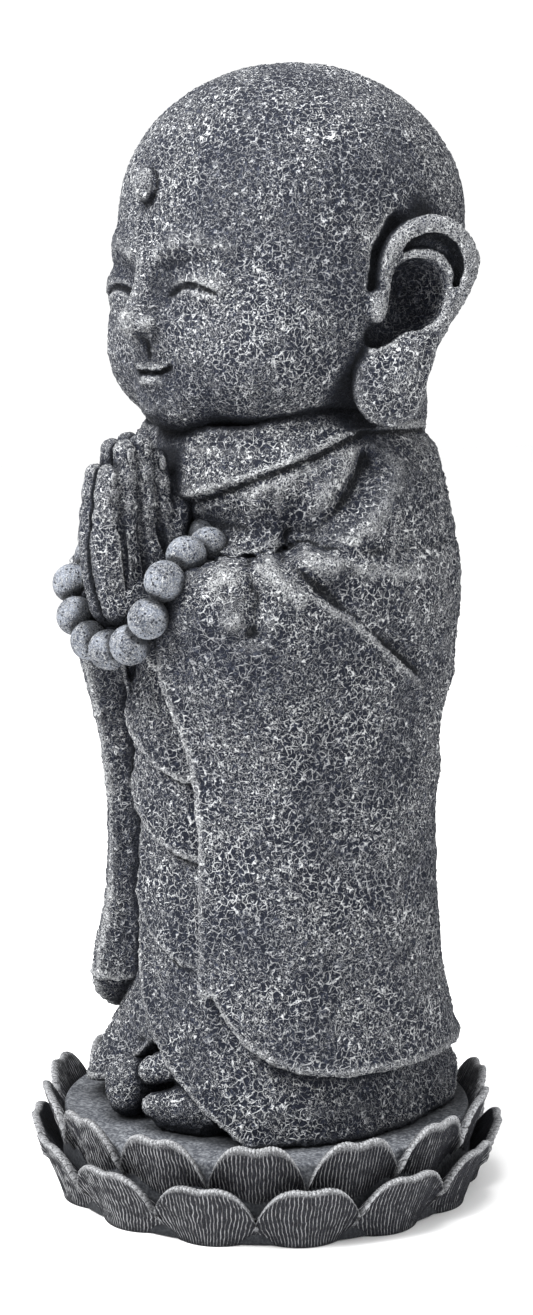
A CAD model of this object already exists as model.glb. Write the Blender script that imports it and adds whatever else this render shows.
"""Stone jizo statue: a child monk in prayer on a lotus pedestal, sculpted as distance fields.

Shapes are worked out in statue millimetres (a statue 600 high, facing -Y, left hand at +X)
and scaled to the frame's own height. A field is negative inside the stone.
"""

import math

import bpy
import numpy as np
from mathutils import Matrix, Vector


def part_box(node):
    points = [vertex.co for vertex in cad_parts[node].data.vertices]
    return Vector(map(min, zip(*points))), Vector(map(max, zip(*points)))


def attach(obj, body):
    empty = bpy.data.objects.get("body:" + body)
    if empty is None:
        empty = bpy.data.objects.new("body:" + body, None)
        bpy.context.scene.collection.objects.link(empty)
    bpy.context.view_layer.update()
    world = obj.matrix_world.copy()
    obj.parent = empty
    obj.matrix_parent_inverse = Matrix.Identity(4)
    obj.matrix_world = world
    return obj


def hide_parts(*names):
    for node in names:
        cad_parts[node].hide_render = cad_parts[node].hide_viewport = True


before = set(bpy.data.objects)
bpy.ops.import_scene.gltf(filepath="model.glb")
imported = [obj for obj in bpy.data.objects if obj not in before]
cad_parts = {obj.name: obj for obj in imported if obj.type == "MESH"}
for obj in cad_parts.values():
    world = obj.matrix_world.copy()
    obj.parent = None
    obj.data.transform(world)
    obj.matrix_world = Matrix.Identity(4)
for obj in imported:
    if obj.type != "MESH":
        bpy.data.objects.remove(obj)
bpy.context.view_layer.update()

import openvdb
from mathutils import Vector

# ---------- driving sizes
NOMINAL_HEIGHT = 600.0
pedestal_low, pedestal_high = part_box("lotus_pedestal")
figure_low, figure_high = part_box("jizo_figure")
MM = (figure_high.z - pedestal_low.z) / NOMINAL_HEIGHT  # metres in a statue millimetre
DISC_TOP = 43.0
HEM_Z = figure_low.z / MM
BODY = "root"


# ---------- small maths
def mix(a, b, t):
    return a + (b - a) * t


def step(value, low, high):
    t = np.clip((value - low) / (high - low), 0, 1)
    return t * t * (3 - 2 * t)


def bump(value, width):
    return np.exp(-((value / width) ** 2))


def join(a, b, soft):
    """Soft union of two fields."""
    h = np.clip(0.5 + 0.5 * (b - a) / soft, 0, 1)
    return mix(b, a, h) - soft * h * (1 - h)


def carve(a, b, soft):
    """Takes field b out of field a, with a soft edge."""
    return -join(-a, b, soft)


def oval(p, centre, radii):
    x, y, z = p
    cx, cy, cz = centre
    rx, ry, rz = radii
    length = np.sqrt(((x - cx) / rx) ** 2 + ((y - cy) / ry) ** 2 + ((z - cz) / rz) ** 2)
    return (length - 1) * min(radii)


def bar(p, a, b, ra, rb=None):
    """A round bar from a to b whose radius runs from ra to rb."""
    rb = ra if rb is None else rb
    a, b = np.array(a, float), np.array(b, float)
    span = b - a
    x, y, z = p
    t = ((x - a[0]) * span[0] + (y - a[1]) * span[1] + (z - a[2]) * span[2]) / span.dot(span)
    t = np.clip(t, 0, 1)
    dx = x - a[0] - t * span[0]
    dy = y - a[1] - t * span[1]
    dz = z - a[2] - t * span[2]
    return np.sqrt(dx * dx + dy * dy + dz * dz) - mix(ra, rb, t)


def chain(p, points, radii, soft=2.0):
    """A rod through several points."""
    made = None
    for i in range(len(points) - 1):
        link = bar(p, points[i], points[i + 1], radii[i], radii[i + 1])
        made = link if made is None else join(made, link, soft)
    return made


def curve(points, radii, parts=3):
    """Points and radii of a smooth line through the given ones."""
    knots = np.column_stack([points, radii])
    knots = np.vstack([2 * knots[0] - knots[1], knots, 2 * knots[-1] - knots[-2]])
    made = []
    for i in range(1, len(knots) - 2):
        a, b, c, d = knots[i - 1 : i + 3]
        for t in np.arange(parts) / parts:
            inner = (2 * a - 5 * b + 4 * c - d) * t * t + (3 * (b - c) + d - a) * t**3
            made.append(b + 0.5 * ((c - a) * t + inner))
    made = np.array(made + [knots[-2]])
    return made[:, :3], made[:, 3]


def path_distance(s, z, points):
    """Distance in an unrolled surface to a line through points."""
    best = None
    for (s0, z0), (s1, z1) in zip(points, points[1:]):
        ds, dz = s1 - s0, z1 - z0
        t = np.clip(((s - s0) * ds + (z - z0) * dz) / (ds * ds + dz * dz), 0, 1)
        d = np.hypot(s - s0 - t * ds, z - z0 - t * dz)
        best = d if best is None else np.minimum(best, d)
    return best


# ---------- noise on points
def lattice_noise(points, size, seed):
    """Smooth noise in -1..1 with features about `size` millimetres across."""
    count = 64
    table = np.random.RandomState(seed).uniform(-1, 1, (count, count, count)).astype(np.float32)
    q = points / size
    base = np.floor(q).astype(int)
    f = q - base
    f = f * f * f * (f * (f * 6 - 15) + 10)
    i0, i1 = base % count, (base + 1) % count
    total = 0
    for cx in (0, 1):
        wx = f[:, 0] if cx else 1 - f[:, 0]
        ix = i1[:, 0] if cx else i0[:, 0]
        for cy in (0, 1):
            wy = f[:, 1] if cy else 1 - f[:, 1]
            iy = i1[:, 1] if cy else i0[:, 1]
            for cz in (0, 1):
                wz = f[:, 2] if cz else 1 - f[:, 2]
                iz = i1[:, 2] if cz else i0[:, 2]
                total = total + wx * wy * wz * table[ix, iy, iz]
    return total


def worm_ridges(points, size, seed):
    """Raised winding lines, 0 between them and 1 along their crests."""
    sway = np.stack([lattice_noise(points, size * 1.4, seed + k) for k in (1, 2, 3)], axis=1)
    value = lattice_noise(points + sway * size * 0.6, size, seed)
    return 1 - np.clip(np.abs(value) / 0.22, 0, 1)


# ---------- grids and meshes
class Grid:
    """A box of sample points with a fixed step, all in statue millimetres."""

    def __init__(self, low, high, spacing):
        self.low = np.array(low, float)
        self.spacing = spacing
        counts = np.ceil((np.array(high) - self.low) / spacing).astype(int) + 1
        axes = [self.low[k] + spacing * np.arange(counts[k]) for k in range(3)]
        self.x = axes[0][:, None, None].astype(np.float32)
        self.y = axes[1][None, :, None].astype(np.float32)
        self.z = axes[2][None, None, :].astype(np.float32)
        self.p = (self.x, self.y, self.z)
        self.shape = tuple(counts)

    def surface(self, field):
        """Corners and quads where the field is nought."""
        field = np.ascontiguousarray(np.broadcast_to(field, self.shape), dtype=np.float32)
        limit = 3 * self.spacing
        grid = openvdb.FloatGrid(limit)
        grid.copyFromArray(np.clip(field, -limit, limit), tolerance=0.0)
        points, quads = grid.convertToQuads(0.0)
        return points * self.spacing + self.low, quads


def sample(grid, field, points):
    """A field read between its samples."""
    q = (points - grid.low) / grid.spacing
    top = np.array(grid.shape) - 1.001
    q = np.clip(q, 0, top)
    base = np.floor(q).astype(int)
    f = q - base
    total = 0
    for cx in (0, 1):
        for cy in (0, 1):
            for cz in (0, 1):
                weight = (
                    (f[:, 0] if cx else 1 - f[:, 0])
                    * (f[:, 1] if cy else 1 - f[:, 1])
                    * (f[:, 2] if cz else 1 - f[:, 2])
                )
                total = total + weight * field[base[:, 0] + cx, base[:, 1] + cy, base[:, 2] + cz]
    return total


def corner_normals(points, quads):
    a, b, c, d = (points[quads[:, k]] for k in range(4))
    face = np.cross(c - a, d - b)
    normals = np.zeros_like(points)
    for k in range(4):
        for axis in range(3):
            normals[:, axis] += np.bincount(quads[:, k], face[:, axis], len(points))
    length = np.linalg.norm(normals, axis=1)
    return normals / np.maximum(length, 1e-9)[:, None]


def smoothed(points, quads, values, rounds):
    """Values averaged with their neighbours along the mesh."""
    ends_a = quads.ravel()
    ends_b = np.roll(quads, -1, axis=1).ravel()
    degree = np.bincount(ends_a, minlength=len(points)) + np.bincount(ends_b, minlength=len(points))
    values = np.array(values, float)
    flat = values.reshape(len(points), -1)
    for _ in range(rounds):
        fresh = np.empty_like(flat)
        for k in range(flat.shape[1]):
            total = np.bincount(ends_a, flat[ends_b, k], len(points))
            total += np.bincount(ends_b, flat[ends_a, k], len(points))
            fresh[:, k] = total / np.maximum(degree, 1)
        flat = 0.5 * flat + 0.5 * fresh
    return flat.reshape(values.shape)


def make_piece(name, points, quads, node, values):
    """A Blender mesh from points in statue millimetres, with its point values."""
    mesh = bpy.data.meshes.new(name)
    mesh.vertices.add(len(points))
    mesh.vertices.foreach_set("co", (points * MM).astype(np.float32).ravel())
    mesh.loops.add(quads.size)
    mesh.loops.foreach_set("vertex_index", quads.astype(np.int32).ravel())
    mesh.polygons.add(len(quads))
    mesh.polygons.foreach_set("loop_start", np.arange(0, quads.size, 4, dtype=np.int32))
    mesh.update(calc_edges=True)
    mesh.validate()
    mesh.polygons.foreach_set("use_smooth", np.ones(len(mesh.polygons), bool))
    for key, value in values.items():
        attribute = mesh.attributes.new(key, "FLOAT", "POINT")
        attribute.data.foreach_set("value", np.asarray(value, np.float32))
    piece = bpy.data.objects.new(name, mesh)
    bpy.context.scene.collection.objects.link(piece)
    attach(piece, BODY)
    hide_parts(node)
    return piece


# ---------- robe profiles
# Reach to the side, front and back of the outer robe at each height.
ROBE = np.array([
    # z, side, front, back
    (70, 96, 72, 107),
    (78, 94, 72, 105),
    (97, 92, 76, 100),
    (120, 90, 80, 96),
    (165, 89, 80, 91),
    (205, 88, 80, 90),
    (245, 90, 85, 91),
    (285, 96, 96, 96),
    (318, 100, 100, 99),
    (338, 100, 97, 98.5),
    (346, 98.5, 90, 98),
    (353, 96, 76, 97),
    (362, 94, 66, 96),
    (382, 88, 63, 93),
    (401, 79, 60, 91),
    (410, 73, 55, 84),
    (418, 66, 50, 76),
    (427, 55, 44, 64),
    (433, 46, 38, 54),
], float)

SKIRT = np.array([
    (43, 85, 78, 103),
    (60, 84, 78, 101),
    (78, 78, 76, 92),
    (103, 70, 72, 76),
    (130, 62, 68, 70),
    (200, 60, 64, 64),
], float)


def profile(stations, column, z):
    """A reach at a height, eased so that no station shows as a crease."""
    fine = np.arange(stations[0, 0], stations[-1, 0] + 1, 1.0)
    values = np.interp(fine, stations[:, 0], stations[:, column])
    kernel = np.hanning(9)
    kernel /= kernel.sum()
    padded = np.pad(values, 4, mode="edge")
    eased = np.convolve(padded, kernel, mode="valid")
    return np.interp(z, fine, eased)


def oval_radius(angle, side, front, back, power):
    across = np.abs(np.sin(angle)) / side
    forward = np.abs(np.cos(angle)) / np.where(np.cos(angle) > 0, front, back)
    return (across**power + forward**power) ** (-1 / power)


def turned_field(p, radius_of):
    """Field of a body given by its radius at each angle and height round the Z axis."""
    x, y, z = p
    rho = np.sqrt(x * x + y * y)
    angle = np.arctan2(x, -y)[:, :, 0]
    steps = 1080
    table_angle = np.linspace(-math.pi, math.pi, steps + 1)
    heights = z[0, 0, :]
    table = radius_of(table_angle[:, None], heights[None, :]).astype(np.float32)
    place = (angle + math.pi) / (2 * math.pi) * steps
    low = np.clip(np.floor(place).astype(int), 0, steps - 1)
    part = (place - low)[:, :, None].astype(np.float32)
    radius = table[low] * (1 - part) + table[low + 1] * part
    return (rho - radius).astype(np.float32)


# ---------- outer robe
DEG = math.pi / 180
UNROLL = 92.0  # millimetres of surface to a radian of turn


def fold(turn, z, points, width, height):
    """A raised (or sunken) line between (degrees, height) points."""
    line = [(a * DEG * UNROLL, h) for a, h in points]
    return height * bump(path_distance(turn * UNROLL, z, line), width)


def folded(radius, turn, z, folds):
    """A radius with each fold of a list laid on it."""
    for points, width, height in folds:
        radius = radius + fold(turn, z, points, width, height)
    return radius


def sleeve_edge_angle(z):
    """Angle of a sleeve's front edge from straight ahead."""
    apart = mix(42.0, 33.0, step(z, 235, 292))
    reach = profile(ROBE, 2, z) * 0.94
    return np.arctan2(apart, reach)


def hem_height(angle):
    """The outer robe's hem, which climbs to each sleeve's front corner; the right one hangs lower."""
    past = np.maximum(0, np.abs(angle) - 0.62)
    climb = np.where(angle > 0, 42, 33)
    return 78 + climb * np.exp(-past / 0.24)


# the forearm's top edge: degrees round from the front, and its height there
CREASE_AT = (20, 33, 40, 48, 55, 59, 67, 76)
CREASE_Z = (340, 344, 346.5, 345, 349, 347.5, 353.5, 352)

# the elbow's fold, given the same way
ELBOW_AT = (60, 66, 76, 89, 102, 112)
ELBOW_Z = (341, 332, 321.5, 305, 289, 279)

# Each fold is a line of (degrees, height) points, its width and its height; sunken ones are negative.
ARMPIT_FOLDS = (
    ([(95, 394), (84, 378), (73, 362), (64, 355)], 7.5, -9.5),
    ([(104, 392), (92, 372), (78, 358)], 11, 4.0),
    ([(62, 396), (52, 372)], 13, 3.0),
)
GATHERS = (
    ([(42, 346), (40, 335), (44, 320)], 7.5, 4.0),
    ([(54, 347), (58, 338), (63, 328)], 4.5, 4.2),
    ([(67, 353), (72, 346)], 6.0, 6.5),
    ([(48, 345), (51, 330), (50, 314)], 4.6, -4.4),
    ([(60, 348), (69, 335), (76, 326)], 3.6, -3.6),
    ([(74, 353), (82, 351), (104, 350), (124, 352)], 5.0, -1.6),
    ([(76, 344), (92, 342), (104, 339)], 6.0, 1.2),
)
LONG_FOLDS = (
    ([(50, 300), (58, 240), (60, 150)], 16, 1.5),
    ([(92, 270), (99, 190), (104, 110)], 15, 1.4),
    ([(76, 290), (80, 200), (78, 110)], 13, -1.5),
    ([(126, 330), (138, 250), (142, 120)], 13, -2.2),
    ([(158, 330), (165, 250), (168, 120)], 16, 2.0),
)
BACK_FOLDS = (
    ([(120, 300), (150, 272), (181, 262)], 8, 1.8),
    ([(118, 250), (150, 222), (181, 214)], 8, 1.5),
)
SKIRT_FOLDS = (
    ([(84, 100), (90, 44)], 12, 2.0),
    ([(60, 100), (66, 44)], 9, -1.6),
    ([(120, 100), (124, 44)], 10, -2.0),
    ([(150, 100), (154, 44)], 12, 2.0),
)
ROUNDNESS = 2.3  # the power of the body's oval, 2 for an ellipse
SLEEVE_FLOOR = 44  # how near the axis the robe front lies between the sleeves
CHEST_SET_BACK = 15  # how far the chest lies behind the forearm
COLLAR_TOP = 411
COLLAR_DROP = 37


def reach_at(stations, angle, z):
    side, front, back = (profile(stations, column, z) for column in (1, 2, 3))
    return oval_radius(angle, side, front, back, ROUNDNESS)


def cloak_radius(angle, z):
    turn = np.abs(angle)
    degrees = turn / DEG
    radius = reach_at(ROBE, angle, z)
    # the chest and the robe front lie back between the sleeves
    edge = sleeve_edge_angle(z)
    within = 1 - step(turn, edge - 0.075, edge)
    sleeves = 1 - step(z, 344, 352)
    radius = radius - within * sleeves * (radius - SLEEVE_FLOOR)
    # a rolled lip along each sleeve's front edge
    lip = bump(turn - edge - 0.03, 0.045)
    radius = radius + lip * step(z, 108, 130) * (1 - step(z, 290, 330))
    # armpit furrow, then the chest set back above the forearm
    radius = folded(radius, turn, z, ARMPIT_FOLDS)
    above = z - np.interp(degrees, CREASE_AT, CREASE_Z)
    set_back = step(above, -0.5, 2.5) * (1 - step(above, 12, 44)) * (1 - step(degrees, 60, 78))
    radius = radius - CHEST_SET_BACK * set_back
    radius = radius - 3.0 * bump(above - 1.5, 2.4) * (1 - step(degrees, 72, 82))
    # the elbow's fold: a raised lip with a drop above it
    above = z - np.interp(degrees, ELBOW_AT, ELBOW_Z)
    reach = step(degrees, 60, 76) * (1 - step(degrees, 98, 114))
    raised = 2.6 * bump(above + 1.2, 3.2)
    drop = 4.6 * step(above, 0, 3) * (1 - step(above, 7, 30))
    radius = radius + reach * (raised - drop)
    radius = folded(radius, turn, z, GATHERS)
    # the right sleeve swells at its front corner
    radius = radius + 9 * bump(angle + 0.66, 0.34) * bump(z - 112, 34)
    # long shallow folds down the sleeve and across the back
    radius = folded(radius, turn, z, LONG_FOLDS)
    radius = folded(radius, angle, z, BACK_FOLDS)
    radius = folded(radius, -angle, z, BACK_FOLDS)
    # the collar: a band that lies over the robe and dips to a V
    line = COLLAR_TOP - COLLAR_DROP * np.clip(np.cos(angle * 0.93), 0, 1) ** 1.35
    radius = radius + 3.0 * step(z - line, -0.8, 1.2)
    radius = radius + 1.0 * bump(z - line - 1.6, 1.8)
    radius = radius - 1.6 * bump(z - line + 2.4, 2.2)
    # the hem's rolled lip
    return radius + 1.6 * bump(z - hem_height(angle) - 3, 3.5)


def outer_robe(p):
    x, y, z = p
    cloak = turned_field(p, cloak_radius)
    angle = np.arctan2(x, -y)
    turn = np.abs(angle)
    cloak = carve(cloak, z - hem_height(angle), 1.2)
    cloak = carve(cloak, 413 + 17 * step(turn, 0.7, 1.5) - z, 3.0)
    # forearms in their sleeves, reaching in to the hands
    arm = bar((np.abs(x), y, z), (74, -8, 320), (43, -62, 320), 27)
    made = join(cloak, arm, 7)
    # the dark crease where the forearm lies against the chest
    degrees = turn / DEG
    line = np.interp(degrees, CREASE_AT, CREASE_Z)
    slot = np.maximum(np.abs(z - line - 2.5) - 1.1, np.abs(degrees - 48) * 0.8 - 18)
    return carve(made, np.maximum(slot, -(made + 3.0)), 2.2)


# ---------- robe front and skirt
SWAG_LOW = (229, 187, 130, 279)  # height of each fold where it is lowest
SKIRT_TOP = 216
FAR_OFF = 50.0  # a field value well outside the stone


def front_panel(p):
    """The robe's front between the sleeves, with its hanging folds."""
    x, y, z = p
    front = -72 - 3.0 * bump(z - 258, 28) + 4 * bump(z - 160, 50) - 5 * step(-z, -118, -92)
    half_width, depth = 34.5, 37.0
    swell = 0
    for low in SWAG_LOW:
        line = low + 27 * np.clip((35 - x) / 55, 0, 1.35) ** 1.7
        above = z - line
        swell = np.maximum(swell, 7.0 * step(above, -2.2, 1.2) * np.exp(-np.clip(above, 0, 99) / 21))
    rx, ry = half_width + swell * 0.9, depth + swell
    cy = front + depth
    length = (np.abs(x / rx) ** 2.4 + np.abs((y - cy) / ry) ** 2.4) ** (1 / 2.4)
    column = (length - 1) * 34
    column = carve(column, z - 88, 2)
    column = carve(column, 322 - z, 6)
    # the inner garment's edge stands in the gap beside the right sleeve
    edge = bar(p, (-26, -76, 296), (-23.5, -64, 232), 2.4, 1.8)
    return join(column, edge, 1.5)


def skirt_radius(angle, z):
    radius = reach_at(SKIRT, angle, z)
    flare = 1 - step(z, 44, 100)
    radius = radius + 12 * bump(angle + 0.78, 0.30) * flare
    return folded(radius, np.abs(angle), z, SKIRT_FOLDS)


# the left front's edge: heights, and the x at which it crosses each
WRAP_Z = (44, 50, 58, 66, 80, 94, 110, 126, 140, 170)
WRAP_X = (63, 57, 47, 36, 17, 0, -12, -20, -22, -26)

# the right front's hem: x, and the height of the hem there
FAR_HEM_X = (-70, -52, -35, -12, 5, 20)
FAR_HEM_Z = (50, 54, 58, 76, 92, 104)


def skirt(p):
    """The left front wraps over the right one, and a plain back closes them."""
    x, y, z = p
    body = turned_field(p, skirt_radius)
    edge = np.interp(z[0, 0, :], WRAP_Z, WRAP_X)[None, None, :]
    rolled_edge = 2.2 * bump(x - edge - 3, 3.5)
    left = carve(body - 3.0 - rolled_edge, (x - edge) * 0.75, 1.2)
    hem = np.interp(x, FAR_HEM_X, FAR_HEM_Z) - 12 * step(y, -62, -20)
    rolled_hem = 1.4 * bump(z - hem - 2.5, 3)
    flare = 9 * bump(x + 46, 26) * (1 - step(z, 62, 128))
    right = carve(body + 1.0 - rolled_hem - flare, z - hem, 1.2)
    right = np.where(x > 40, FAR_OFF, right)
    back = carve(body - 1.0, y + 46, 4)
    core = np.maximum(oval(p, (0, 4, 70), (76, 62, 200)), z - 150)
    whole = join(np.minimum(left, right), back, 2)
    whole = join(whole, core, 2)
    whole = carve(whole, SKIRT_TOP - z, 4)
    return carve(whole, z - HEM_Z, 0.6)


def feet(p):
    # the right shoe, seen end on
    right = bar(p, (-22, -50, 60), (-19, -76, 60), 16, 13.5)
    right = join(right, bar(p, (-18, -76, 64), (-17, -79, 53), 12, 10.5), 6)
    # the left shoe runs back under the skirt from its pointed toe
    left = bar(p, (44, -52, 60), (24, -67, 57), 15, 12)
    left = join(left, bar(p, (24, -67, 56), (9, -80, 55.5), 11.5, 6.5), 4)
    left = join(left, bar(p, (30, -62, 49), (13, -74, 49), 10, 7.5), 4)
    # the trouser's rolled end over the left shoe
    roll = bar(p, (26, -64, 83), (3, -77, 72.5), 10.5, 7.5)
    both = np.minimum(right, join(left, roll, 1.6))
    return np.maximum(both, HEM_Z - p[2])


def inner_robe(p):
    return join(skirt(p), front_panel(p), 3)


# ---------- hands
# Tip and root of each finger, as (y, z), and its radius, little finger first.
FINGERS = (
    ((-103.5, 389.0), (-106.0, 358.0), 5.9),
    ((-93.5, 401.0), (-94.0, 358.0), 6.3),
    ((-83.5, 404.0), (-81.8, 358.0), 6.4),
    ((-74.0, 396.5), (-70.0, 357.0), 6.0),
)
FINGER_X = 6.6
THUMB = ((8.5, -77, 338), (8.5, -66, 354), (7.6, -60.5, 370), (6.6, -62, 383))
THUMB_RADII = (9, 7.8, 6.6, 5.4)


def hands(p):
    x, y, z = p
    q = (np.abs(x), y, z)
    palm = oval(q, (5.0, -88, 342), (9.5, 22.5, 27))
    palm = join(palm, bar(q, (6, -103, 356), (6.5, -96, 322), 9, 8.5), 6)
    palm = join(palm, bar(q, (7, -72, 352), (8.5, -80, 330), 9, 10), 6)
    made = join(palm, bar(q, (7, -90, 322), (26, -70, 318), 11, 14), 8)
    for (tip_y, tip_z), (root_y, root_z), radius in FINGERS:
        root = (FINGER_X, root_y, root_z)
        tip = (FINGER_X - 0.6, tip_y, tip_z)
        finger = bar(q, root, tip, radius + 0.6, radius - 0.5)
        for share in (0.34, 0.68):
            knuckle = [mix(root[k], tip[k], share) for k in range(3)]
            finger = join(finger, oval(q, knuckle, (radius + 1.0, radius + 0.3, radius)), 2.0)
        made = join(made, finger, 0.8)
        # a nail sunk in its bed on the back of the finger
        bed = (FINGER_X + radius - 1.0, tip_y, tip_z - 2.0)
        made = carve(made, oval(q, bed, (1.5, 3.4, 5.2)), 0.6)
        made = join(made, oval(q, bed, (1.1, 2.4, 4.2)), 0.5)
    made = join(made, chain(q, THUMB, THUMB_RADII), 1.6)
    # dark gaps between the fingers, and grooves below them over the back of the hand
    for near, far, softness in zip(FINGERS, FINGERS[1:], (1.88, 1.84, 1.84)):
        tip_y = (near[0][0] + far[0][0]) / 2
        root_y = (near[1][0] + far[1][0]) / 2
        gap = bar(q, (FINGER_X + 5.4, root_y, 358), (FINGER_X + 5.4, tip_y, 390), 1.2)
        made = carve(made, gap, 0.8)
        groove = bar(q, (13.0, root_y, 362), (15.5, root_y + 2.0, 332), 2.4, 0.8)
        made = carve(made, groove, softness)
    # the seam where the palms meet
    seam = np.maximum(np.abs(x) - 0.9, np.abs(y + 87) - 60)
    return carve(made, np.maximum(seam, -(made + 3.2)), 1.2)


# ---------- prayer beads
BEAD_COUNT = 14
BEAD_START = 0.86  # where the first bead sits, in bead steps along the strand
BEAD_RADIUS = 10.45

# The strand hangs in a slanting loop: low over the wrists in front, high behind the hands.
STRAND = (
    (34, -61, 352),
    (38, -77, 349),
    (43, -93, 339),
    (40, -102, 319),
    (27, -104, 305),
    (6, -104, 300),
    (-14, -102, 302),
    (-32, -100, 314),
    (-45, -93, 332),
    (-44, -75, 346),
    (-31, -55, 354),
    (-4, -43, 359),
)


def bead_centres():
    knots = STRAND[-2:] + STRAND + STRAND[:2]
    line, _ = curve(knots, [0] * len(knots), 24)
    loop = line[48:-23]
    lengths = np.concatenate([[0], np.cumsum(np.linalg.norm(np.diff(loop, axis=0), axis=1))])
    wanted = (np.arange(BEAD_COUNT) + BEAD_START) * lengths[-1] / BEAD_COUNT
    return [loop[int(np.searchsorted(lengths, w))] for w in wanted]


def beads(p):
    made = None
    for centre in bead_centres():
        ball = oval(p, centre, (BEAD_RADIUS,) * 3)
        made = ball if made is None else np.minimum(made, ball)
    return made


# ---------- head
HEAD = np.array((0.0, 17.0, 521.0))
CRANIUM = (88.0, 93.0, 79.0)
CHIN_Z = 401.0


def face_z(share):
    """Height of a line at a share of the way down from the crown to the chin."""
    return NOMINAL_HEIGHT - share * (NOMINAL_HEIGHT - CHIN_Z)


EYE_Z = face_z(0.58)
NOSE_Z = face_z(0.70)
MOUTH_Z = face_z(0.805)
MARK_Z = face_z(0.33)


def skull(p):
    x, y, z = p
    made = oval(p, HEAD, CRANIUM)
    jaw = oval(p, (0, 1, 466), (83, 79, 62))
    made = join(made, jaw, 26)
    cheek = oval((np.abs(x), y, z), (39, -28, 449), (35, 36, 34))
    made = join(made, cheek, 18)
    chin = oval(p, (0, -55, 425), (22, 20, 16))
    made = join(made, chin, 14)
    neck = oval(p, (0, 30, 420), (62, 62, 60))
    return join(made, neck, 16)


def front_y(form, x, z):
    """How far forward a form reaches on the line through (x, z)."""
    y = np.linspace(-115, -15, 401)
    inside = form((np.full_like(y, x), y, np.full_like(y, z))) < 0
    return y[int(np.argmax(inside))]


def on_front(form, points, sink):
    """Points (x, z) laid on a form's front, sunk into it by `sink`."""
    return [(x, front_y(form, x, z) + sink, z) for x, z in points]


def eyelids(p):
    x, y, z = p
    q = (np.abs(x), y, z)
    made = skull(p)
    depth = front_y(skull, 33, EYE_Z)
    made = carve(made, oval(q, (33, depth - 8, EYE_Z + 2), (22, 11, 13)), 10)
    return join(made, oval(q, (33, depth + 9.5, EYE_Z - 1), (19, 10.5, 12)), 5)


def face(p):
    """A calm child's face: closed lids, a small nose and a slight smile."""
    x, y, z = p
    q = (np.abs(x), y, z)
    made = eyelids(p)
    # the closed lids' slits
    arc = [(33 + 16.5 * t, EYE_Z - 5.5 + 4.6 * (1 - t * t)) for t in np.linspace(-1, 1, 9)]
    line = on_front(eyelids, arc, 0.7)
    made = carve(made, chain(q, line, [1.1] + [1.7] * 7 + [1.1], 0.5), 0.6)
    # brows
    brow = [(13, EYE_Z + 16), (24, EYE_Z + 21), (37, EYE_Z + 22), (50, EYE_Z + 17)]
    brow = on_front(skull, brow, 2.8)
    made = join(made, chain(q, brow, [2.2, 3.2, 3.4, 2.2], 3), 8)
    # nose
    ridge = on_front(skull, [(0, EYE_Z + 8), (0, NOSE_Z + 14), (0, NOSE_Z + 6)], 0)
    (_, y0, z0), (_, y1, z1), (_, y2, z2) = ridge
    nose = chain(p, [(0, y0 + 4, z0), (0, y1 + 0.5, z1), (0, y2 - 4.5, z2)], [4.6, 5.6, 8.4], 4)
    made = join(made, nose, 6)
    made = join(made, oval(q, (8.6, y2 - 0.5, NOSE_Z + 4.5), (5.6, 7.0, 5.2)), 3)
    made = carve(made, oval(q, (5.4, y2 - 6.0, NOSE_Z - 2.2), (2.6, 3.4, 2.0)), 1.2)
    # the groove under the nose, two full lips, a parting line with lifted corners
    lip_y = front_y(skull, 0, MOUTH_Z)
    made = carve(made, oval(p, (0, lip_y - 5.4, NOSE_Z - 9), (3.0, 5.4, 5)), 3)
    made = join(made, oval(q, (5.5, lip_y + 2.6, MOUTH_Z + 2.8), (9, 5.4, 3.4)), 3)
    made = join(made, oval(p, (0, lip_y + 2.4, MOUTH_Z - 4), (10.5, 6.0, 4.4)), 3)
    corners = [(17.5 * t, MOUTH_Z + 3.2 * t * t) for t in np.linspace(-1, 1, 9)]
    parting = on_front(skull, corners, 0.5)
    parting = [(cx, cy - 1.6 * (1 - (cx / 17.5) ** 2), cz) for cx, cy, cz in parting]
    made = carve(made, chain(p, parting, [0.9] + [1.3] * 7 + [0.9], 0.5), 0.7)
    hollow = front_y(skull, 0, MOUTH_Z - 12)
    return carve(made, oval(p, (0, hollow - 3.6, MOUTH_Z - 12), (12, 5, 4)), 5)


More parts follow.
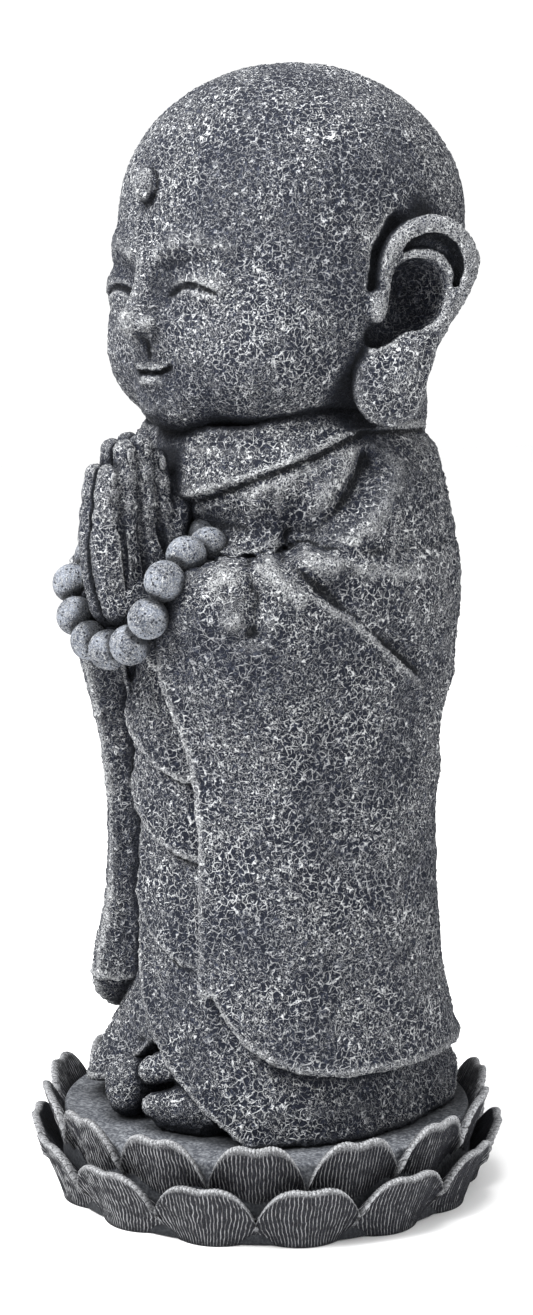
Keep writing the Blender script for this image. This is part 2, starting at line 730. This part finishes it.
def ear(p, made):
    """Long-lobed ears, in a plane that opens backwards from the side of the head."""
    x, y, z = p
    ax = np.abs(x)
    flare = 0.37
    e = (ax - 82) * math.sin(flare) + (y - 4) * math.cos(flare)
    n = (ax - 82) * math.cos(flare) - (y - 4) * math.sin(flare)
    q = (e, n, z)
    # a hollow in the head in front of and above the ear
    gap = chain(q, [(1, 3, 482), (5, 3, 500), (14, 2, 514), (30, 1, 521)], [3.0, 4.5, 5.0, 3.5])
    made = carve(made, gap, 3)
    # the ear's root and its sheet
    root = oval(q, (22, -13, 478), (20, 12, 30))
    made = join(made, root, 6)
    sheet = oval(q, (27, -2, 487), (25, 5.5, 30))
    sheet = join(sheet, bar(q, (24, -6, 470), (14, -8, 440), 12, 13), 8)
    # helix, thick and rolled
    helix = curve(
        [(7, 1, 477), (7.5, 2.5, 492), (12.5, 3, 504), (21, 3.5, 511), (32, 3.5, 514), (43, 3.5, 510),
         (50, 3, 501), (50.5, 3, 491), (45, 2.5, 478), (38, 2, 467), (32, 1, 456), (27, 0, 444)],
        [3.8, 4.3, 4.8, 5.0, 5.1, 5.2, 5.4, 5.3, 5.0, 4.8, 4.8, 5.2],
    )
    shape = join(sheet, chain(q, *helix, 1.5), 2.0)
    # inner ridge round the hollow
    ridge = curve(
        [(10, 1, 496), (19, 3.5, 499), (30, 4.5, 499.5), (37.5, 4.5, 495), (41.5, 4, 487), (41, 4, 478),
         (36.5, 4, 468), (30, 4, 460.5), (22, 4, 456), (11, 3.5, 452.5), (1, 2.5, 451.5)],
        [1.8, 2.2, 2.4, 2.5, 2.6, 2.6, 2.6, 2.6, 2.6, 2.4, 2.2],
    )
    shape = join(shape, chain(q, *ridge, 1.5), 2.0)
    groove = curve(
        [(17, 4, 502), (24, 4.5, 506), (33, 5, 507), (41, 5, 503), (45.5, 4.5, 493), (43, 4.5, 480)],
        [1.6, 2.6, 3.0, 3.0, 2.6, 1.6],
    )
    shape = carve(shape, chain(q, *groove, 1.0), 1.0)
    # lobe
    lobe = oval(q, (10.5, 1.5, 434), (20, 8.0, 21.5))
    lobe = join(lobe, bar(q, (20, 1, 450), (14, 1.5, 436), 9, 8), 8)
    shape = join(shape, lobe, 4)
    made = join(made, shape, 2.2)
    # the deep hollow and its long lower end
    well = oval(q, (24.0, -1, 479.5), (15, 18, 18))
    well = join(well, bar(q, (17, -3, 467), (3.5, 1, 458), 9.5, 6.2), 5)
    made = carve(made, well, 1.2)
    tragus = oval(q, (2.5, 4.5, 473), (5.6, 5.0, 8.5))
    return join(made, tragus, 2.5)


def head(p):
    made = ear(p, face(p))
    # the round mark on the forehead, in a shallow ring
    front = front_y(skull, 0, MARK_Z)
    made = carve(made, oval(p, (0, front - 0.6, MARK_Z), (9.4, 2.0, 10.6)), 2.0)
    return join(made, oval(p, (0, front - 0.8, MARK_Z), (7.6, 6.8, 8.8)), 0.8)


# ---------- recesses of the whole figure
def figure_fields(p):
    made = outer_robe(p)
    for form in (inner_robe, hands, beads, head, feet):
        made = np.minimum(made, form(p))
    return made


# A coarse field of the whole figure, closed below by the pedestal's top.
COARSE = Grid((-135, -145, 36), (135, 140, 630), 3.0)
COARSE_FIELD = np.ascontiguousarray(np.broadcast_to(figure_fields(COARSE.p), COARSE.shape))
COARSE_FIELD = np.minimum(COARSE_FIELD, np.maximum(COARSE.z - DISC_TOP, 0 * COARSE_FIELD - 9))


def recess(points, normals):
    """0 on open surfaces, towards 1 deep in a fold or hollow."""
    side = np.cross(normals, (0.3, 0.2, 0.93))
    side /= np.maximum(np.linalg.norm(side, axis=1), 1e-6)[:, None]
    other = np.cross(normals, side)
    closed = 0
    for reach, weight in ((5, 0.16), (11, 0.18), (22, 0.18)):
        room = sample(COARSE, COARSE_FIELD, points + normals * reach)
        closed = closed + weight * np.clip(1 - room / reach, 0, 1)
    for turn in np.arange(4) * math.pi / 2 + 0.5:
        lean = normals * 0.6 + 0.8 * (math.cos(turn) * side + math.sin(turn) * other)
        room = sample(COARSE, COARSE_FIELD, points + lean * 15)
        closed = closed + 0.16 * np.clip(1 - room / 9, 0, 1)
    return np.clip(closed, 0, 1)


def stone_piece(name, form, low, high, spacing, worms, stretch=1.0):
    """Meshes a form and raises its coarse stone texture; `stretch` below 1 draws it out upwards."""
    grid = Grid(low, high, spacing * (1.0))
    field = np.array(np.broadcast_to(form(grid.p), grid.shape), np.float32)
    points, quads = grid.surface(field)
    quads = quads[:, ::-1] if facing_in(points, quads) else quads
    normals = corner_normals(points, quads)
    normals = smoothed(points, quads, normals, 2)
    normals /= np.maximum(np.linalg.norm(normals, axis=1), 1e-9)[:, None]
    closed = recess(points, normals)
    for reach in (2.0, 4.0):
        room = sample(grid, field, points + normals * reach)
        closed = closed + 0.16 * np.clip(1 - room / reach, 0, 1)
    closed = np.clip(closed, 0, 1)
    relief = np.zeros(len(points))
    stretched = points * (1, 1, stretch)
    for size, height, seed in worms:
        ridges = worm_ridges(stretched, size, seed)
        relief = relief + height * (ridges - 0.35)
    mean = smoothed(points, quads, points, 6)
    crest = ((points - mean) * normals).sum(axis=1)
    points = points + normals * relief[:, None]
    largest = max(height for _, height, _ in worms)
    values = {"recess": closed, "relief": relief / largest, "crest": crest}
    return make_piece(name, points, quads, "jizo_figure", values)


def facing_in(points, quads):
    a, b, c = (points[quads[:, k]] for k in range(3))
    return (np.cross(b - a, c - a) * a).sum() < 0


# ---------- materials
class Nodes:
    """Short calls for building a node material."""

    def __init__(self, name):
        self.material = bpy.data.materials.new(name)
        self.material.use_nodes = True
        self.tree = self.material.node_tree
        self.shader = self.tree.nodes["Principled BSDF"]
        self.coords = self.tree.nodes.new("ShaderNodeTexCoord").outputs["Object"]

    def put(self, socket, value):
        if hasattr(value, "is_output"):
            self.tree.links.new(value, socket)
        else:
            socket.default_value = value

    def math(self, operation, a, b=0.0, c=0.0, clamp=False):
        node = self.tree.nodes.new("ShaderNodeMath")
        node.operation = operation
        node.use_clamp = clamp
        for socket, value in zip(node.inputs, (a, b, c)):
            self.put(socket, value)
        return node.outputs[0]

    def ramp(self, value, low, high, out_low=0.0, out_high=1.0):
        node = self.tree.nodes.new("ShaderNodeMapRange")
        node.interpolation_type = "SMOOTHSTEP"
        keys = ("Value", "From Min", "From Max", "To Min", "To Max")
        for key, item in zip(keys, (value, low, high, out_low, out_high)):
            self.put(node.inputs[key], item)
        return node.outputs["Result"]

    def noise(self, size, detail=2.0, distortion=0.0, vector=None):
        node = self.tree.nodes.new("ShaderNodeTexNoise")
        self.put(node.inputs["Vector"], self.coords if vector is None else vector)
        node.inputs["Scale"].default_value = 1 / (size * MM)
        node.inputs["Detail"].default_value = detail
        node.inputs["Distortion"].default_value = distortion
        return node.outputs["Fac"]

    def cells(self, size, vector=None, feature="DISTANCE_TO_EDGE"):
        node = self.tree.nodes.new("ShaderNodeTexVoronoi")
        node.feature = feature
        self.put(node.inputs["Vector"], self.coords if vector is None else vector)
        node.inputs["Scale"].default_value = 1 / (size * MM)
        return node.outputs["Distance"]

    def swayed(self, size, amount):
        """Coordinates pushed about by noise, so that cells lose their straight walls."""
        node = self.tree.nodes.new("ShaderNodeTexNoise")
        self.put(node.inputs["Vector"], self.coords)
        node.inputs["Scale"].default_value = 1 / (size * MM)
        offset = self.tree.nodes.new("ShaderNodeVectorMath")
        offset.operation = "MULTIPLY_ADD"
        self.put(offset.inputs[0], node.outputs["Color"])
        offset.inputs[1].default_value = (amount * MM,) * 3
        self.put(offset.inputs[2], self.coords)
        return offset.outputs[0]

    def value(self, name):
        node = self.tree.nodes.new("ShaderNodeAttribute")
        node.attribute_name = name
        return node.outputs["Fac"]

    def blend(self, share, a, b):
        node = self.tree.nodes.new("ShaderNodeMix")
        node.data_type = "RGBA"
        self.put(node.inputs["Factor"], share)
        self.put(node.inputs["A"], a)
        self.put(node.inputs["B"], b)
        return node.outputs["Result"]

    def bumped(self, height, depth, below=None):
        node = self.tree.nodes.new("ShaderNodeBump")
        node.inputs["Distance"].default_value = depth * MM
        self.put(node.inputs["Height"], height)
        if below is not None:
            self.put(node.inputs["Normal"], below)
        return node.outputs["Normal"]


DARK = (0.006, 0.0075, 0.013, 1)
MIDDLE = (0.028, 0.033, 0.051, 1)
PALE = (0.53, 0.54, 0.55, 1)
BLACK = (0.005, 0.006, 0.008, 1)


def stone_material(name, worm_size, cell_size, brush, depth):
    """Dark cast stone whose raised winding lines are rubbed with pale grey."""
    m = Nodes(name)
    sway = m.swayed(worm_size * 1.7, worm_size * 1.3)
    first = m.math("ABSOLUTE", m.math("SUBTRACT", m.noise(worm_size, 1.5, 0.5, sway), 0.5))
    second = m.math("ABSOLUTE", m.math("SUBTRACT", m.noise(worm_size * 0.6, 1.0, 0.4), 0.5))
    worm = m.ramp(first, 0.0, 0.06, 1.0, 0.0)
    fine_worm = m.ramp(second, 0.0, 0.055, 1.0, 0.0)
    wall = m.ramp(m.cells(cell_size * 1.35, sway), 0.0, 0.11, 1.0, 0.0)
    patches = m.ramp(m.noise(24, 2.0), 0.4, 0.6)
    gaps = m.ramp(m.noise(worm_size * 1.1, 1.0, 0.0, sway), 0.38, 0.52, 0.25, 1.0)
    fine_worm = m.math("MULTIPLY", fine_worm, m.ramp(patches, 0, 1, 0.8, 0.35))
    worm = m.math("MULTIPLY", worm, m.ramp(patches, 0, 1, 1.0, 0.75))
    wall = m.math("MULTIPLY", wall, m.ramp(patches, 0, 1, 0.4, 1.0))
    wall = m.math("MULTIPLY", wall, gaps)
    ridges = m.math("MAXIMUM", m.math("MAXIMUM", worm, fine_worm), wall)
    grain = m.noise(0.9, 2.0)
    relief = m.value("relief")
    closed = m.value("recess")
    crest = m.value("crest")
    height = m.math("ADD", ridges, m.math("MULTIPLY", grain, 0.3))
    open_air = m.ramp(closed, 0.38, 0.95, 1.0, 0.08)
    brushed = m.ramp(m.noise(40, 3.0), 0.34, 0.66, 0.58, 1.28)
    worn = m.ramp(crest, 0.03, 0.35, 0.0, 0.6)
    share = m.ramp(m.math("MULTIPLY", ridges, m.ramp(relief, -0.5, 0.8, 0.85, 1.1)), 0.3, 0.9)
    share = m.math("ADD", share, m.math("MULTIPLY", worn, m.ramp(grain, 0.4, 0.6)))
    share = m.math("MULTIPLY", share, m.math("MULTIPLY", brushed, brush))
    share = m.math("MULTIPLY", share, open_air, clamp=True)
    ground = m.blend(m.ramp(height, 0.1, 0.55), DARK, MIDDLE)
    stone = m.blend(share, ground, PALE)
    stone = m.blend(m.ramp(crest, -0.45, -0.08, 0.9, 0.0), stone, BLACK)
    stone = m.blend(m.ramp(closed, 0.52, 1.0, 0.0, 0.75), stone, BLACK)
    m.put(m.shader.inputs["Base Color"], stone)
    m.shader.inputs["Roughness"].default_value = 0.82
    m.shader.inputs["Specular IOR Level"].default_value = 0.14
    m.put(m.shader.inputs["Normal"], m.bumped(height, depth))
    return m.material


def bead_material():
    m = Nodes("bead_stone")
    sway = m.swayed(4.0, 3.0)
    line = m.math("ABSOLUTE", m.math("SUBTRACT", m.noise(3.0, 2.0, 0.6, sway), 0.5))
    scratches = m.ramp(line, 0.0, 0.045, 1.0, 0.0)
    pits = m.ramp(m.cells(2.4, m.swayed(3.0, 1.6), "F1"), 0.12, 0.34)
    dull = m.ramp(m.noise(10, 3.0), 0.35, 0.65)
    grain = m.noise(0.8, 2.0)
    closed = m.value("recess")
    ground = m.blend(dull, (0.020, 0.025, 0.038, 1), (0.105, 0.118, 0.145, 1))
    ground = m.blend(m.ramp(grain, 0.4, 0.65, 0.0, 0.3), ground, PALE)
    ground = m.blend(m.math("MULTIPLY", scratches, 0.5), ground, PALE)
    ground = m.blend(pits, (0.014, 0.017, 0.025, 1), ground)
    ground = m.blend(m.ramp(closed, 0.3, 0.85, 0.0, 0.85), ground, BLACK)
    m.put(m.shader.inputs["Base Color"], ground)
    m.shader.inputs["Roughness"].default_value = 0.75
    m.shader.inputs["Specular IOR Level"].default_value = 0.2
    height = m.math("ADD", m.math("ADD", pits, scratches), m.math("MULTIPLY", grain, 0.4))
    m.put(m.shader.inputs["Normal"], m.bumped(height, 0.7))
    return m.material


def petal_material():
    m = Nodes("petal_stone")
    rim = m.value("rim")
    closed = m.value("recess")
    grain = m.noise(1.0, 3.0)
    sway = m.math("MULTIPLY", m.noise(7.0, 2.0), 1.3)
    phase = m.math("ADD", m.value("phase"), sway)
    wave = m.math("ABSOLUTE", m.math("SUBTRACT", m.math("FRACT", phase), 0.5))
    vein = m.ramp(wave, 0.05, 0.2, 1.0, 0.0)
    broken = m.ramp(m.noise(4.0, 3.0), 0.34, 0.6, 0.2, 1.0)
    share = m.math("MULTIPLY", m.math("MULTIPLY", vein, broken), 0.8)
    share = m.math("MAXIMUM", share, m.math("MULTIPLY", rim, m.ramp(grain, 0.35, 0.6, 0.35, 1.0)))
    share = m.math("MULTIPLY", share, m.ramp(closed, 0.15, 0.7, 1.0, 0.0), clamp=True)
    ground = m.blend(m.ramp(grain, 0.35, 0.7), (0.006, 0.006, 0.008, 1), (0.021, 0.022, 0.027, 1))
    stone = m.blend(share, ground, (0.33, 0.335, 0.345, 1))
    stone = m.blend(m.ramp(closed, 0.3, 0.95, 0.0, 0.9), stone, BLACK)
    m.put(m.shader.inputs["Base Color"], stone)
    m.shader.inputs["Roughness"].default_value = 0.82
    m.shader.inputs["Specular IOR Level"].default_value = 0.14
    m.put(m.shader.inputs["Normal"], m.bumped(m.math("ADD", vein, m.math("MULTIPLY", grain, 0.4)), 0.8))
    return m.material


# ---------- lotus pedestal
PETALS = 14
PITCH = 2 * math.pi / PETALS
LOWER = dict(
    tip=131.0, top=35.5, root=116.5, base=0.4, half=0.232,
    shoulder=0.5, dip=0.055, bulge=8.5, lip=4.6,
)
UPPER = dict(
    tip=124.4, top=56.5, root=108.0, base=6.0, half=0.226,
    shoulder=0.42, dip=0.05, bulge=8.0, lip=4.2,
)
VEINS = 26
PETAL_SEED = 112


def petal_surface(shape, across, up, thick):
    """A point of a petal: across -1..1, up 0..1, thick 0 outside to 1 inside."""
    rim = 1 - shape["shoulder"] * np.abs(across) ** 3.3 - shape["dip"] * np.exp(-((across / 0.24) ** 2))
    span = shape["top"] - shape["base"]
    z = shape["base"] + span * up * rim
    lean = up**1.35
    out = mix(shape["root"], shape["tip"], lean) - shape["bulge"] * across**2 * (1 - 0.2 * up)
    out = out - 1.8 * np.exp(-((across / 0.3) ** 2)) * up**3
    width = shape["half"] * (0.84 + 0.17 * np.sin(math.pi * np.clip(up * 0.85, 0, 1)))
    wall = shape["lip"] * (1 + 2.2 * np.clip(1 - up, 0, 1) ** 1.5)
    return out - thick * wall, width * across, z


def petal_ring(name, shape, first):
    """A ring of veined petals, each a closed leaf with a rolled rim."""
    columns = 108
    climb, roll, inside = 15, 5, 7
    rows_up = [(u, 0.0) for u in np.linspace(0, 0.97, climb)]
    turns = np.linspace(0.35, math.pi - 0.35, roll)
    rows_roll = [(0.97 + 0.035 * math.sin(t), 0.5 - 0.5 * math.cos(t)) for t in turns]
    rows_in = [(u, 1.0) for u in np.linspace(0.96, 0.0, inside)]
    rows = rows_up + rows_roll + rows_in
    across = np.sin(np.linspace(-1, 1, columns) * math.pi / 2 * 0.97) / math.sin(math.pi / 2 * 0.97)
    across = mix(np.linspace(-1, 1, columns), across, 0.35)
    up = np.array([r[0] for r in rows])[:, None] + 0 * across
    thick = np.array([r[1] for r in rows])[:, None] + 0 * across
    wide = across[None, :] + 0 * up
    all_points, all_quads, veins, rims = [], [], [], []
    count = 0
    for k in range(PETALS):
        sway = np.random.RandomState(PETAL_SEED + k)
        fan = wide * (1.0 + 0.10 * (1 - up))
        bend = sway.uniform(-0.25, 0.25) * (1 - up) + 0.05 * np.sin(up * 5 + sway.uniform(0, 6))
        phase = (fan * 0.5 + 0.5) * VEINS + bend + sway.uniform(0, 1)
        vein = 0.5 - 0.5 * np.cos(2 * math.pi * phase)
        strength = 0.7 + 0.3 * np.sin(phase * 1.7 + sway.uniform(0, 6))
        side = np.clip((1 - np.abs(wide)) / 0.06, 0, 1)
        lift = 0.75 * (vein - 0.4) * strength * side * step(up, 0.0, 0.12)
        out, turn, z = petal_surface(shape, wide, up, thick)
        turn = turn + first + k * PITCH
        direction = np.where(thick > 0.6, -0.6, 1.0)
        tall = np.where((thick > 0.05) & (thick < 0.95), 0.6 * lift, 0.0)
        reach = out + lift * direction
        points = np.stack([reach * np.sin(turn), -reach * np.cos(turn), z + tall], axis=2)
        height, width = up.shape
        index = np.arange(height * width).reshape(height, width) + count
        corners = [index[:-1, :-1], index[:-1, 1:], index[1:, 1:], index[1:, :-1]]
        quads = np.stack(corners, axis=2).reshape(-1, 4)
        # close the two sides and the foot between the outer and inner faces
        caps = []
        for i in range(height // 2):
            j = height - 1 - i
            if i + 1 <= j - 1:
                caps.append([index[i, 0], index[i + 1, 0], index[j - 1, 0], index[j, 0]])
                caps.append([index[i, -1], index[j, -1], index[j - 1, -1], index[i + 1, -1]])
        foot = np.stack([index[0, 1:], index[0, :-1], index[-1, :-1], index[-1, 1:]], axis=1)
        all_quads += [quads, np.array(caps), foot]
        all_points.append(points.reshape(-1, 3))
        veins.append(phase.ravel())
        lip = 0.85 * step(up, 0.945, 0.98) * (1 - 0.7 * step(thick, 0.3, 1.0))
        edge = step(np.abs(wide), 0.93, 0.99) * 0.7 * (thick < 0.5) * step(up, 0.3, 0.6)
        rims.append(np.maximum(lip, edge).ravel())
        count += height * width
    points = np.concatenate(all_points)
    quads = np.concatenate(all_quads)
    normals = corner_normals(points, quads)
    closed = petal_recess(points, normals)
    values = {"recess": closed, "phase": np.concatenate(veins), "rim": np.concatenate(rims)}
    piece = make_piece(name, points, quads, "lotus_pedestal", values)
    piece.data.materials.append(PETAL_STONE)


def petal_recess(points, normals):
    """Petals are dark low down between their neighbours and where they meet the disc."""
    radius = np.hypot(points[:, 0], points[:, 1])
    inward = -(points[:, 0] * normals[:, 0] + points[:, 1] * normals[:, 1]) / radius
    inner = step(inward, 0.2, 0.8) * (1 - step(points[:, 2], DISC_TOP - 4, DISC_TOP + 8))
    low = 1 - step(points[:, 2], 0.5, 6)
    return np.clip(0.7 * inner + 0.45 * low, 0, 1)


def disc():
    """The pedestal's round body, with a fine-grained top."""
    around = 320
    top_rings = 70
    axis, flat = 0.001, 109.5  # radii of the middle and of the flat top
    profile_points = [(axis, 0.0), (60.0, 0.0), (110.0, 0.0), (112.0, 1.2), (112.0, 20.0)]
    profile_points += [(111.0, DISC_TOP - 2.0), (110.6, DISC_TOP - 0.7), (flat, DISC_TOP)]
    profile_points += [(flat * math.sqrt(1 - i / top_rings), DISC_TOP) for i in range(1, top_rings)]
    profile_points += [(axis, DISC_TOP)]
    rings = np.array(profile_points)
    turn = np.linspace(0, 2 * math.pi, around, endpoint=False)
    radius, z = rings[:, 0][:, None], rings[:, 1][:, None] + 0 * turn
    points = np.stack([radius * np.sin(turn), -radius * np.cos(turn), z], axis=2).reshape(-1, 3)
    grain = lattice_noise(points, 2.6, 5) + 0.5 * lattice_noise(points, 1.4, 6)
    swell = lattice_noise(points, 14, 8)
    on_top = step(points[:, 2], DISC_TOP - 1, DISC_TOP)
    on_top = on_top * (1 - step(np.hypot(points[:, 0], points[:, 1]), 106, 109))
    points[:, 2] += on_top * (0.22 * grain + 0.25 * swell - 0.45)
    index = np.arange(len(points)).reshape(len(rings), around)
    nxt = np.roll(index, -1, axis=1)
    quads = np.stack([index[:-1], nxt[:-1], nxt[1:], index[1:]], axis=2).reshape(-1, 4)
    quads = quads[:, ::-1] if facing_in(points, quads) else quads
    normals = corner_normals(points, quads)
    up = np.zeros_like(points)
    up[:, 2] = 1
    closed = recess(points, up)
    rim = step(np.hypot(points[:, 0], points[:, 1]), 98, 110)
    closed = np.clip(closed + 0.35 * rim, 0, 1)
    values = {"recess": closed, "relief": grain, "crest": 0 * grain}
    piece = make_piece("pedestal_disc", points, quads, "lotus_pedestal", values)
    piece.data.materials.append(DISC_STONE)


def disc_material():
    m = Nodes("disc_stone")
    grain = m.noise(1.5, 3.0)
    relief = m.value("relief")
    closed = m.value("recess")
    raised = m.ramp(relief, -0.2, 0.9, 0.0, 0.35)
    share = m.math("ADD", m.ramp(grain, 0.38, 0.68, 0.0, 0.7), raised, clamp=True)
    share = m.math("MULTIPLY", share, m.ramp(m.noise(30, 2.0), 0.3, 0.7, 0.6, 1.0))
    ground = m.blend(share, (0.035, 0.038, 0.046, 1), (0.21, 0.22, 0.235, 1))
    ground = m.blend(m.ramp(closed, 0.45, 1.0, 0.0, 0.8), ground, BLACK)
    m.put(m.shader.inputs["Base Color"], ground)
    m.shader.inputs["Roughness"].default_value = 0.86
    m.shader.inputs["Specular IOR Level"].default_value = 0.25
    m.put(m.shader.inputs["Normal"], m.bumped(grain, 0.45))
    return m.material


# ---------- make the pieces
HEAD_STONE = stone_material("head_stone", 2.3, 2.7, 1.0, 1.8)
ROBE_STONE = stone_material("robe_stone", 2.7, 3.4, 1.05, 2.6)
HAND_STONE = stone_material("hand_stone", 2.1, 2.6, 1.2, 1.6)
BEAD_STONE = bead_material()
PETAL_STONE = petal_material()
DISC_STONE = disc_material()


def figure_piece(name, form, low, high, spacing, worms, material, stretch=1.0):
    piece = stone_piece(name, form, low, high, spacing, worms, stretch)
    piece.data.materials.append(material)


def bead_strand():
    centres = np.array(bead_centres())
    low, high = centres.min(axis=0) - 13, centres.max(axis=0) + 13
    figure_piece("prayer_beads", beads, low, high, 0.92, BEAD_WORMS, BEAD_STONE)


# Each piece's box is given by two corners; its relief by (size, height, seed) of each layer.
HEAD_BOX = ((-112, -104, 396), (112, 116, 603))
OUTER_BOX = ((-114, -112, 70), (114, 114, 426))
INNER_BOX = ((-108, -98, 42), (108, 106, 326))
FEET_BOX = ((-40, -98, 42), (44, -30, 92))
HANDS_BOX = ((-46, -120, 296), (46, -48, 416))
HEAD_WORMS = ((4.0, 0.6, 41), (8.0, 0.35, 51))
ROBE_WORMS = ((4.6, 0.95, 21), (9.0, 0.6, 31))
FEET_WORMS = ((3.6, 0.6, 61),)
HAND_WORMS = ((2.4, 0.45, 71),)
BEAD_WORMS = ((2.4, 0.12, 81),)

figure_piece("head", head, *HEAD_BOX, 1.47, HEAD_WORMS, HEAD_STONE)
figure_piece("outer_robe", outer_robe, *OUTER_BOX, 1.92, ROBE_WORMS, ROBE_STONE)
figure_piece("inner_robe", inner_robe, *INNER_BOX, 1.7, ROBE_WORMS, ROBE_STONE)
figure_piece("feet", feet, *FEET_BOX, 0.9, FEET_WORMS, HAND_STONE)
figure_piece("hands", hands, *HANDS_BOX, 0.88, HAND_WORMS, HAND_STONE, stretch=0.4)
bead_strand()
petal_ring("lower_petals", LOWER, PITCH / 2)
petal_ring("upper_petals", UPPER, 0.0)
disc()

# ---------- camera, lights and floor
HEIGHT = NOMINAL_HEIGHT * MM
CAMERA_AZIMUTH = 54 * DEG
CAMERA_DISTANCE = 2.167 * HEIGHT
CAMERA_HEIGHT = 0.775 * HEIGHT
CAMERA_TILT = 7.8 * DEG
FOCAL = 66.8


def add_camera():
    data = bpy.data.cameras.new("camera")
    data.lens = FOCAL
    data.sensor_width = 36
    camera = bpy.data.objects.new("camera", data)
    bpy.context.scene.collection.objects.link(camera)
    x = math.sin(CAMERA_AZIMUTH) * CAMERA_DISTANCE
    y = -math.cos(CAMERA_AZIMUTH) * CAMERA_DISTANCE
    camera.location = (x, y, CAMERA_HEIGHT)
    camera.rotation_euler = (math.pi / 2 - CAMERA_TILT, 0, CAMERA_AZIMUTH)
    bpy.context.scene.camera = camera


def add_light(name, turn, rise, distance, size, power):
    """An area light at an angle from the camera's side, aimed at the statue's middle."""
    data = bpy.data.lights.new(name, "AREA")
    data.energy = power
    data.size = size
    light = bpy.data.objects.new(name, data)
    bpy.context.scene.collection.objects.link(light)
    angle = CAMERA_AZIMUTH + turn * DEG
    target = Vector((0, 0, HEIGHT * 0.55))
    level = math.cos(rise * DEG)
    offset = Vector((math.sin(angle) * level, -math.cos(angle) * level, math.sin(rise * DEG)))
    light.location = target + offset * distance
    light.rotation_euler = (target - light.location).to_track_quat("-Z", "Y").to_euler()


def add_floor():
    mesh = bpy.data.meshes.new("floor")
    half = 6.0
    corners = [(-half, -half, 0), (half, -half, 0), (half, half, 0), (-half, half, 0)]
    mesh.from_pydata(corners, [], [(0, 1, 2, 3)])
    floor = bpy.data.objects.new("floor", mesh)
    bpy.context.scene.collection.objects.link(floor)
    floor.location.z = pedestal_low.z
    m = Nodes("floor_paper")
    m.shader.inputs["Base Color"].default_value = (0.94, 0.94, 0.94, 1)
    m.shader.inputs["Roughness"].default_value = 0.9
    mesh.materials.append(m.material)


def add_world():
    world = bpy.data.worlds.new("studio")
    world.use_nodes = True
    world.node_tree.nodes["Background"].inputs["Color"].default_value = (1, 1, 1, 1)
    world.node_tree.nodes["Background"].inputs["Strength"].default_value = 1.05
    bpy.context.scene.world = world


add_camera()
add_light("key", -58, 44, 1.9, 0.9, 80)
add_light("fill", 60, 14, 2.2, 1.2, 14)
add_light("top", -20, 75, 1.7, 0.8, 26)
add_floor()
add_world()
bpy.context.scene.view_settings.view_transform = "Standard"
